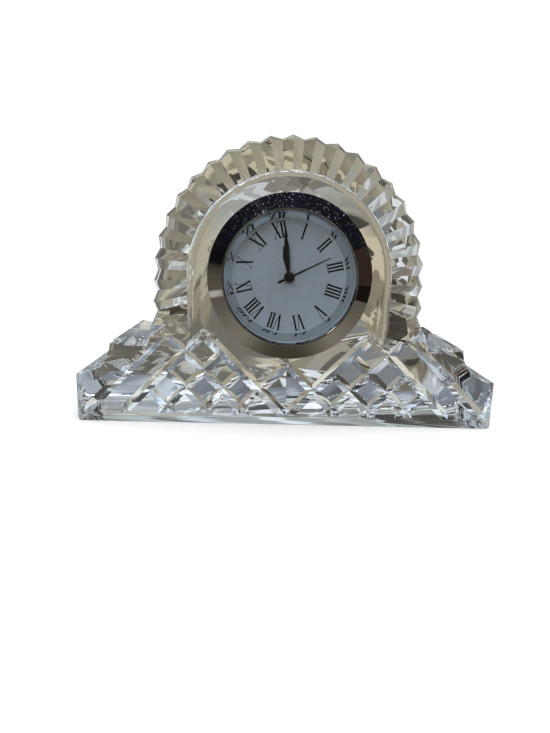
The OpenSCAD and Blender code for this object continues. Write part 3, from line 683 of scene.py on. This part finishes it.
@dataclass
class Numerals:
    """Roman numerals round the dial, their feet towards the centre."""

    dial: DialFrame
    radius: float = 12.6 * MM
    height: float = 4.3 * MM
    reach: float = 0.72 * MM
    skew: float = 0.05 * MM
    thick: float = 0.48 * MM
    thin: float = 0.17 * MM
    serif: float = 0.95 * MM
    level: float = -3.84 * MM
    lift: float = 0.004 * MM
    film: float = 0.03 * MM
    words: Tuple[str, ...] = ("I", "II", "III", "IIII", "V", "VI", "VII", "VIII", "IX", "X", "XI", "XII")

    def bars(self, letter: str) -> List[Stroke]:
        """Strokes of one letter.

        Args:
            letter: I, V or X.

        Returns:
            A list of strokes: x and y at the foot, x and y at the head, and the width along x.
        """
        h, s, t, w = self.height / 2, self.serif, self.thin, self.reach
        if letter == "I":
            return [(0, -h, 0, h, self.thick), (0, -h, 0, -h + t, s), (0, h - t, 0, h, s)]
        if letter == "V":
            legs = [(0, -h, -w, h, self.thick), (self.skew, -h, w, h, t)]
            return legs + [(-w, h - t, -w, h, s), (w, h - t, w, h, s * 0.8)]
        legs = [(w, -h, -w, h, self.thick * 1.1), (-w, -h, w, h, t)]
        return legs + [(x, y, x, y + t, s * 0.9) for x in (-w, w) for y in (-h, h - t)]

    def inked(self, bar: Stroke, shift: float, hour: int) -> np.ndarray:
        """Corners of one stroke on the dial.

        A stroke is a parallelogram whose foot and head edges run along x; it is moved out by the radius and
        turned by -30 degrees for each hour.

        Args:
            bar: the stroke.
            shift: place of its letter's middle along the word.
            hour: the hour that the word stands for.

        Returns:
            Array of 8 by 3 dial places, the four near the paint first.
        """
        x0, y0, x1, y1, w = bar
        x = np.array([x0 - w / 2, x0 + w / 2, x1 + w / 2, x1 - w / 2]) + shift
        y = np.array([y0, y0, y1, y1]) + self.radius
        angle = -math.radians(30 * hour)
        c, s = math.cos(angle), math.sin(angle)
        flat = np.stack([x * c - y * s, x * s + y * c], axis=1)
        low = np.full((4, 1), self.level + self.lift)
        high = np.full((4, 1), self.level + self.film)
        return np.vstack([np.hstack([flat, low]), np.hstack([flat, high])])

    def build(self, box: Paintbox) -> None:
        """Lays every stroke on the dial as a thin film of ink with six faces.

        Args:
            box: where its finish comes from.
        """
        points: List[np.ndarray] = []
        for hour, word in enumerate(self.words, start=1):
            start = -sum([LETTER_ROOM[letter] for letter in word]) / 2
            for letter in word:
                shift = start + LETTER_ROOM[letter] / 2
                points += [self.inked(bar, shift, hour) for bar in self.bars(letter)]
                start += LETTER_ROOM[letter]
        sides = [[0, 1, 5, 4], [1, 2, 6, 5], [2, 3, 7, 6], [3, 0, 4, 7]]
        corners = np.array([[3, 2, 1, 0], [4, 5, 6, 7]] + sides)
        faces = np.vstack([corners + 8 * k for k in range(len(points))])
        piece = mesh_object("dial_numerals", self.dial.world(np.vstack(points)), faces, smooth=False)
        box.dress(piece, PRINT_INK)
        settle(piece, "insert")


@dataclass
class Housing:
    """Bezel, lens, funnel, case, band and the rear parts of the insert."""

    def build(self, box: Paintbox) -> None:
        """Gives the housing its finishes.

        Args:
            box: where they come from.
        """
        box.dress_nodes(CHROME, "bezel")
        box.dress_nodes(MIRROR, "reflector_ring")
        box.dress_nodes(LENS, "lens")
        box.dress_nodes(CASE_BLACK, "insert_case", "back_cover")
        box.dress_nodes(HATCH_BLACK, "cell_hatch")
        box.dress_nodes(KNOB_BLACK, "setting_knob")
        box.dress_nodes(RUBBER, "friction_band")


@dataclass
class DialWork:
    """Dial, its numerals and the three hands."""

    dial: DialFrame
    paint: float = 0.13 * MM
    hub_r: float = 1.2 * MM

    def build(self, box: Paintbox) -> None:
        """Dresses the dial and the hands and prints the numerals.

        Args:
            box: where their finishes come from.
        """
        box.dress_nodes(DIAL_PAINT, "dial")
        box.dress_nodes(BLACK_PAINT, "hour_hand", "minute_hand")
        self.thin_hand(box)
        Numerals(self.dial).build(box)

    def thin_hand(self, box: Paintbox) -> None:
        """Gives the second hand its coat of paint, which rounds and widens its thin blade.

        Every corner outside the hub moves by paint times its normal's part in the plane of the dial.

        Args:
            box: where its finish comes from.
        """
        blade = merged_copy(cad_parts["second_hand"], "second_hand_blade")
        count = len(blade.data.vertices)
        at, normal = np.empty(count * 3), np.empty(count * 3)
        blade.data.vertices.foreach_get("co", at)
        blade.data.vertices.foreach_get("normal", normal)
        at, normal = at.reshape(-1, 3), normal.reshape(-1, 3) * np.array([1.0, 0.0, 1.0])
        outside = np.hypot(at[:, 0], at[:, 2] - self.dial.axis_z) > self.hub_r
        at += self.paint * normal * outside[:, None]
        blade.data.vertices.foreach_set("co", at.ravel())
        blade.data.update()
        box.dress(blade, BLACK_PAINT)
        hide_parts("second_hand")
        settle(blade, "seconds")


@dataclass
class Winding:
    """Turns of enamelled wire between the cheeks of the coil."""

    dial: DialFrame
    centre: Vec3 = (3.0 * MM, -11.0 * MM, -9.42 * MM)
    half: float = 3.38 * MM
    radius: float = 1.17 * MM
    wire: float = 0.07 * MM
    tip: float = 1 * UM
    turns: int = 26
    steps: int = 8
    sides: int = 48

    def build(self, box: Paintbox) -> None:
        """Makes the ribbed winding.

        Along the axis x the radius is r + wire * |sin(pi * turns * u)| with u from 0 to 1, closed at both
        ends by a ring as small as a point on the axis.

        Args:
            box: where its finish comes from.
        """
        u = np.linspace(0.0, 1.0, self.turns * self.steps + 1)
        r = self.radius + self.wire * np.abs(np.sin(math.pi * self.turns * u))
        x = np.concatenate([[-self.half], -self.half + 2 * self.half * u, [self.half]])
        r = np.concatenate([[self.tip], r, [self.tip]])
        a = np.linspace(0.0, 2 * math.pi, self.sides, endpoint=False)
        rows, turn = np.meshgrid(np.arange(len(x)), a, indexing="ij")
        local = np.stack([self.centre[0] + x[rows], self.centre[1] + r[rows] * np.cos(turn),
                          self.centre[2] + r[rows] * np.sin(turn)], axis=-1).reshape(-1, 3)
        piece = mesh_object("coil_winding", self.dial.world(local), grid_faces(len(x), len(a), True))
        box.dress(piece, COPPER)
        settle(piece, "insert")


@dataclass
class Movement:
    """Plates, train, motor, board and cell behind the dial."""

    dial: DialFrame

    def build(self, box: Paintbox) -> None:
        """Dresses the movement and winds the coil.

        Args:
            box: where its finishes come from.
        """
        box.dress_nodes(CREAM, "front_plate", "back_plate")
        box.dress_nodes(STEEL, "middle_plate", "plate_screws", "stator", "stator_screws", "quartz_can",
                        "setting_pinion")
        box.dress_nodes(BRASS, "hour_wheel", "minute_wheel", "cannon_pinion", "centre_wheel", "third_wheel",
                        "seconds_wheel", "contact_minus", "contact_plus")
        box.dress_nodes(WHITE, "intermediate_wheel")
        box.dress_nodes(MAGNET, "rotor")
        box.dress_nodes(COPPER, "coil")
        box.dress_nodes(BOARD, "circuit_board")
        box.dress_nodes(RESIN, "chip")
        box.dress_nodes(CELL, "cell")
        Winding(self.dial).build(box)


# Studio

TAN: Colour = (1.0, 0.96, 0.85)
SKY: Colour = (0.92, 0.98, 1.04)
PLAIN: Colour = (1.0, 1.0, 1.0)

# The rear wall from the floor to the top, and the share of that light from the left to the right.
REAR_BY_HEIGHT: Stops = (
    (0.0, (0.10, 0.10, 0.095)), (0.15, (0.24, 0.222, 0.185)), (0.31, (0.21, 0.198, 0.165)),
    (0.39, (0.23, 0.218, 0.18)), (0.45, (0.32, 0.302, 0.248)), (0.535, (0.33, 0.312, 0.26)),
    (0.565, (0.34, 0.355, 0.35)), (0.62, (0.34, 0.37, 0.40)), (0.75, (0.38, 0.41, 0.44)),
    (0.88, (0.46, 0.48, 0.51)), (0.98, (0.12, 0.12, 0.12)))
REAR_BY_TURN: Stops = (
    (0.0, (0.62, 0.65, 0.69)), (0.17, (0.58, 0.61, 0.66)), (0.30, (0.52, 0.545, 0.58)),
    (0.35, (0.48, 0.47, 0.44)), (0.40, (0.64, 0.64, 0.62)), (0.435, (0.56, 0.56, 0.54)),
    (0.455, (0.42, 0.42, 0.40)), (0.56, (0.51, 0.51, 0.50)), (0.585, (0.36, 0.35, 0.32)),
    (0.66, (0.34, 0.33, 0.30)), (0.71, (0.44, 0.455, 0.48)), (0.83, (0.52, 0.54, 0.58)),
    (1.0, (0.60, 0.62, 0.66)))
# The things that stand about a room, as shares of that light, by a pattern of soft cells.
REAR_BY_CELL: Stops = (
    (0.0, (0.10, 0.095, 0.09)), (0.10, (0.13, 0.125, 0.11)), (0.17, (0.40, 0.39, 0.37)),
    (0.60, (0.50, 0.50, 0.50)), (0.68, (0.78, 0.82, 0.86)), (0.82, (0.84, 0.88, 0.93)),
    (0.88, (1.0, 1.0, 1.0)))
# The front of the room, which the chrome shows: lit below the table's edge and dark above it.
FRONT_BY_HEIGHT: Stops = (
    (0.0, (0.05, 0.043, 0.03)), (0.07, (0.08, 0.068, 0.046)), (0.15, (0.28, 0.252, 0.20)),
    (0.30, (0.17, 0.15, 0.112)), (0.50, (0.11, 0.096, 0.072)), (0.555, (0.05, 0.042, 0.03)),
    (0.575, (0.006, 0.006, 0.008)), (0.97, (0.012, 0.014, 0.022)))
# The cloudy mat under the clock.
MAT_CLOUD: Stops = (
    (0.32, (0.11, 0.11, 0.11)), (0.42, (0.19, 0.21, 0.24)), (0.56, (0.265, 0.30, 0.35)),
    (0.66, (0.62, 0.68, 0.75)))


class Seen(Enum):
    """Which light paths meet a studio object."""

    BY_THE_EYE = "by the eye"
    IN_THE_OBJECT = "in the object"
    THROUGH_THE_LENS = "through the lens"


@dataclass(frozen=True)
class Card:
    """A glowing card that shows only in reflections and through the crystal, like a window or a white board.

    Its edge fades out over the share called soft.
    """

    name: str
    place: Vec3
    size: Pair
    tint: Colour
    glow: float
    soft: float = 0.0
    aim: Vec3 = (0.0, 0.0, 0.04)
    seen: Seen = Seen.IN_THE_OBJECT


@dataclass(frozen=True)
class Patch:
    """A soft-edged patch of the rear wall: its middle (x, z) and size as the clock sees it, and its light."""

    name: str
    middle: Pair
    size: Pair
    tint: Colour
    glow: float
    soft: float = 0.3


@dataclass(frozen=True)
class PaneRow:
    """A row of narrow patches side by side, like a window with blinds: cool where bright, warm where dim."""

    first: float
    height: float
    tall: float
    glows: Tuple[float, ...]
    wide: float = 19 * MM
    step: float = 18 * MM
    soft: float = 0.2
    cool_from: float = 0.45

    def patches(self, row: int) -> List[Patch]:
        """Lays out the row: pane k has its middle at x = first + k step.

        Args:
            row: number of the row, for the names.

        Returns:
            One patch for each light.
        """
        return [
            Patch(f"pane_{row}_{k}", (self.first + self.step * k, self.height), (self.wide, self.tall),
                  SKY if glow > self.cool_from else TAN, glow, self.soft)
            for k, glow in enumerate(self.glows)]


def show(prop: bpy.types.Object, seen: Seen) -> None:
    """Sets the light paths that meet a studio object.

    Args:
        prop: the studio object.
        seen: by the eye, or only in and through the clock.
    """
    outside = seen is Seen.BY_THE_EYE
    prop.visible_camera = outside
    prop.visible_diffuse = outside
    prop.visible_shadow = outside
    prop.visible_glossy = seen is Seen.IN_THE_OBJECT
    prop.visible_transmission = not outside


@dataclass
class Studio:
    """Pale floor, soft lamp, the room that the crystal and the chrome mirror, and the camera."""

    camera_at: Vec3 = (-5.8 * MM, -171.7 * MM, 51.4 * MM)
    pitch: float = math.radians(12.98)
    yaw: float = math.radians(0.97)
    roll: float = math.radians(1.56)
    focal_px: float = 566.7
    frame_px: Tuple[int, int] = (550, 733)
    floor_z: float = -0.06 * MM
    mat_z: float = -0.1 * MM
    room_r: float = 0.7
    wall_gap: float = 12 * MM
    wall_turn: Pair = (-0.12, 0.10)
    rear_gain: float = 5.2
    cards: Tuple[Card, ...] = (
        Card("softbox", (-0.07, -0.47, 0.30), (0.40, 0.18), (0.87, 0.96, 1.04), 6.0,
             seen=Seen.THROUGH_THE_LENS),
        Card("window_left", (-0.42, -0.26, -0.092), (0.08, 0.046), (0.97, 0.95, 0.87), 0.62, 0.45),
        Card("spot", (-0.20, -0.40, 0.50), (0.014, 0.018), PLAIN, 40.0),
        Card("window_high", (-0.36, -0.02, 0.44), (0.22, 0.10), PLAIN, 4.0),
        Card("ceiling", (0.08, 0.10, 0.56), (0.34, 0.12), PLAIN, 1.8),
        Card("cabinet", (0.38, -0.30, 0.08), (0.22, 0.20), (1.0, 0.64, 0.44), 0.045),
        Card("cabinet_foot", (0.38, -0.30, -0.065), (0.22, 0.09), (1.0, 0.7, 0.5), 0.012),
    )
    patches: Tuple[Patch, ...] = (
        Patch("skirting", (-0.135, -0.145), (0.27, 0.16), TAN, 0.17),
        Patch("stool_left", (-0.178, -0.255), (0.09, 0.14), TAN, 0.13),
        Patch("stool_right", (0.215, -0.225), (0.12, 0.13), TAN, 0.11),
        Patch("basket", (0.135, -0.150), (0.09, 0.13), SKY, 0.24),
        Patch("snow", (0.245, -0.120), (0.06, 0.09), SKY, 0.56),
        Patch("curtain", (-0.225, -0.070), (0.08, 0.10), TAN, 0.20),
        Patch("shade", (0.100, 0.215), (0.13, 0.11), TAN, 0.24),
        Patch("cornice", (-0.165, 0.275), (0.28, 0.15), SKY, 0.40, 0.4),
    )
    panes: Tuple[PaneRow, ...] = (
        PaneRow(-0.028, 0.103, 0.085, (0.72, 0.46, 0.66, 0.26, 0.22, 0.16, 0.22)),
        PaneRow(0.022, -0.140, 0.100, (0.36, 0.13, 0.85, 0.12, 0.40)),
    )

    def floor(self) -> None:
        """Lays a wide pale floor just under the foot; its places are a plain grid of x and y."""
        side = np.linspace(-3.0, 3.0, 7)
        sheet = flat_sheet("studio_floor", side, side, self.floor_z)
        desk = NodeDesk("studio_paper")
        cloud = desk.noise(desk.place(), 3.0, 2.0)
        pale = desk.blend(cloud, (0.95, 0.955, 0.96), (0.97, 0.975, 0.98))
        desk.link(pale, desk.shader.inputs["Base Color"])
        desk.shader.inputs["Roughness"].default_value = 0.95
        desk.shader.inputs["Specular IOR Level"].default_value = 0.1
        sheet.data.materials.append(desk.material)
        show(sheet, Seen.BY_THE_EYE)

    def glow(self, name: str) -> Tuple[NodeDesk, bpy.types.Node]:
        """Makes a glowing material without gloss.

        Args:
            name: name of the material.

        Returns:
            Its desk and its emission node.
        """
        desk = NodeDesk(name)
        lamp = desk.add("ShaderNodeEmission")
        desk.link(lamp.outputs["Emission"], desk.tree.nodes["Material Output"].inputs["Surface"])
        return desk, lamp

    def rear_wall(self, desk: NodeDesk, where: Socket, axes: Dict[str, Socket], level: Socket) -> Socket:
        """Colour of the rear wall: by height, times a share by the turn about Z, times the cells' share.

        The cells are stronger to the right, and give way to an even grey in a rectangle behind the clock.

        Args:
            desk: the wall's desk.
            where: the place on the wall.
            axes: its X, Y and Z.
            level: its height, from 0 at the floor to 1 at the top.

        Returns:
            The colour socket.
        """
        turn = desk.reckon("ARCTAN2", axes["X"], axes["Y"])
        sweep = desk.span(turn, 0.0, 1.0, -math.radians(60), math.radians(60))
        lit = desk.merge(None, desk.ramp(level, REAR_BY_HEIGHT), desk.ramp(sweep, REAR_BY_TURN), "MULTIPLY")
        cells = desk.add("ShaderNodeTexVoronoi", feature="SMOOTH_F1")
        cells.inputs["Smoothness"].default_value = 0.25
        cells.inputs["Scale"].default_value = 19.0
        desk.link(where, cells.inputs["Vector"])
        shade = desk.reckon("SUBTRACT", desk.axes(cells.outputs["Color"])["X"], 0.5)
        contrast = desk.span(axes["X"], 0.85, 1.9, -0.06, 0.08)
        patch = desk.ramp(desk.reckon("MULTIPLY_ADD", shade, contrast, 0.5), REAR_BY_CELL)
        grey = desk.blend(desk.noise(where, 9.0, 1.0), (0.42, 0.42, 0.42), (0.58, 0.58, 0.58))
        away = desk.outness((0.012, 0.0, 0.02), (1 / 0.125, 0.0, 1 / 0.12), "X", "Z")
        mixed = desk.merge(desk.span(away, 0.0, 1.0, 0.96, 1.08), grey, patch)
        return desk.merge(None, lit, mixed, "MULTIPLY")

    def room(self) -> None:
        """Builds the round room: tan behind, dark in front above the table, patched like a furnished room.

        Its places are r (cos v cos u, cos v sin u, sin v), with u round and v from floor to top. The front
        turns into the rear between the two depths y of wall_turn.
        """
        u = np.linspace(0.0, 2 * math.pi, 48, endpoint=False)
        v = np.linspace(-math.pi / 2, math.pi / 2, 25)
        uu, vv = np.meshgrid(u, v)
        r = self.room_r
        grid = np.stack([r * np.cos(vv) * np.cos(uu), r * np.cos(vv) * np.sin(uu), r * np.sin(vv)], axis=-1)
        shell = mesh_object("studio_room", grid.reshape(-1, 3), grid_faces(len(v), len(u), True))
        desk, lamp = self.glow("studio_walls")
        where = desk.place()
        axes = desk.axes(where)
        level = desk.span(axes["Z"], 0.0, 1.0, -r, r)
        rear = self.rear_wall(desk, where, axes, level)
        behind = desk.span(axes["Y"], 0.0, 1.0, *self.wall_turn)
        desk.link(desk.merge(behind, desk.ramp(level, FRONT_BY_HEIGHT), rear), lamp.inputs["Color"])
        desk.link(desk.span(axes["Y"], 1.0, self.rear_gain, *self.wall_turn), lamp.inputs["Strength"])
        shell.data.materials.append(desk.material)
        show(shell, Seen.IN_THE_OBJECT)

    def mat(self) -> None:
        """Lays the pale mat that the foot mirrors: a grid of places under and just behind the clock."""
        x, y = np.linspace(-0.11, 0.11, 12), np.linspace(-0.024, 0.039, 8)
        sheet = flat_sheet("studio_mat", x, y, self.mat_z)
        desk, lamp = self.glow("mat_paper")
        desk.link(desk.ramp(desk.noise(desk.place(), 55.0, 2.0), MAT_CLOUD), lamp.inputs["Color"])
        sheet.data.materials.append(desk.material)
        show(sheet, Seen.IN_THE_OBJECT)

    def hang(self, card: Card) -> None:
        """Hangs one card: a flat 4 by 4 grid of places w a and h b, its side level and its face to its aim.

        Args:
            card: the card.
        """
        wide, tall = card.size
        share = np.linspace(-0.5, 0.5, 4)
        sheet = flat_sheet("studio_" + card.name, wide * share, tall * share, 0.0)
        ahead = (Vector(card.aim) - Vector(card.place)).normalized()
        side = Vector((0.0, 0.0, 1.0)).cross(ahead).normalized()
        turn = Matrix((side, ahead.cross(side), ahead)).transposed().to_4x4()
        sheet.matrix_world = Matrix.Translation(Vector(card.place)) @ turn
        desk, lamp = self.glow("glow_" + card.name)
        lamp.inputs["Color"].default_value = (*card.tint, 1.0)
        lamp.inputs["Strength"].default_value = card.glow
        if card.soft > 0.0:
            out = desk.outness((0.0, 0.0, 0.0), (2 / wide, 2 / tall, 0.0), "X", "Y")
            fade = desk.add("ShaderNodeMixShader")
            clear = desk.add("ShaderNodeBsdfTransparent")
            desk.link(desk.span(out, 0.0, 1.0, 1.0 - card.soft, 1.0), fade.inputs["Fac"])
            desk.link(lamp.outputs["Emission"], fade.inputs[1])
            desk.link(clear.outputs["BSDF"], fade.inputs[2])
            desk.link(fade.outputs["Shader"], desk.tree.nodes["Material Output"].inputs["Surface"])
        sheet.data.materials.append(desk.material)
        show(sheet, card.seen)

    def pin(self, patch: Patch) -> None:
        """Pins a patch just inside the rear wall, where y = sqrt(r r - x x - z z).

        Args:
            patch: the patch.
        """
        x, z = patch.middle
        y = math.sqrt((self.room_r - self.wall_gap) ** 2 - x * x - z * z)
        self.hang(Card(patch.name, (x, y, z), patch.size, patch.tint, patch.glow, patch.soft))

    def lamp(self, name: str, place: Vec3, aim: Vec3, size: Pair, power: float) -> None:
        """Hangs one soft rectangular lamp.

        Args:
            name: name of the lamp.
            place: where it hangs.
            aim: the point that it faces.
            size: width and height of its face.
            power: output in watts.
        """
        data = bpy.data.lights.new(name, "AREA")
        data.shape = "RECTANGLE"
        data.size, data.size_y = size
        data.energy = power
        lamp = new_object(name, data)
        lamp.location = place
        lamp.rotation_euler = (Vector(aim) - Vector(place)).to_track_quat("-Z", "Y").to_euler()

    def air(self) -> None:
        """Even white light from all round."""
        world = bpy.data.worlds.new("studio_air")
        bpy.context.scene.world = world
        world.use_nodes = True
        world.node_tree.nodes["Background"].inputs["Color"].default_value = (*PLAIN, 1.0)
        world.node_tree.nodes["Background"].inputs["Strength"].default_value = 1.06

    def camera(self) -> None:
        """Puts the camera where the photo was taken from.

        The view runs along (sin yaw cos pitch, cos yaw cos pitch, -sin pitch), and the roll turns its right
        and up about it.
        """
        cp, sp = math.cos(self.pitch), math.sin(self.pitch)
        ahead = Vector((math.sin(self.yaw) * cp, math.cos(self.yaw) * cp, -sp))
        right = Vector((math.cos(self.yaw), -math.sin(self.yaw), 0.0))
        up = right.cross(ahead)
        c, s = math.cos(self.roll), math.sin(self.roll)
        side, above = right * c + up * s, up * c - right * s
        data = bpy.data.cameras.new("photo_camera")
        data.sensor_width = 36.0
        data.lens = self.focal_px / max(self.frame_px) * data.sensor_width
        data.clip_start, data.clip_end = 0.005, 20.0
        camera = new_object("photo_camera", data)
        turn = Matrix((side, above, -ahead)).transposed().to_4x4()
        camera.matrix_world = Matrix.Translation(Vector(self.camera_at)) @ turn
        bpy.context.scene.camera = camera

    def build(self) -> None:
        """Sets up floor, room, cards, lamp and camera."""
        self.floor()
        self.room()
        self.mat()
        for card in self.cards:
            self.hang(card)
        for patch in self.patches:
            self.pin(patch)
        for number, row in enumerate(self.panes):
            for patch in row.patches(number):
                self.pin(patch)
        self.air()
        self.lamp("top_lamp", (0.1, -0.15, 0.8), (0.0, 0.0, 0.0), (0.8, 0.8), 3.0)
        self.camera()
        scene = bpy.context.scene
        scene.view_settings.view_transform = "Standard"
        scene.cycles.transparent_max_bounces = 24
        scene.cycles.max_bounces = 20
        scene.cycles.transmission_bounces = 20
        scene.cycles.glossy_bounces = 12
        LOG.info("studio ready")


def main() -> None:
    """Builds the clock piece by piece."""
    logging.basicConfig(level=logging.INFO, format="%(name)s %(message)s")
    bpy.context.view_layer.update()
    box = Paintbox()
    dial = DialFrame()
    CrystalBlock().build(box)
    Housing().build(box)
    DialWork(dial).build(box)
    Movement(dial).build(box)
    Studio().build()


if __name__ == "__main__":
    main()
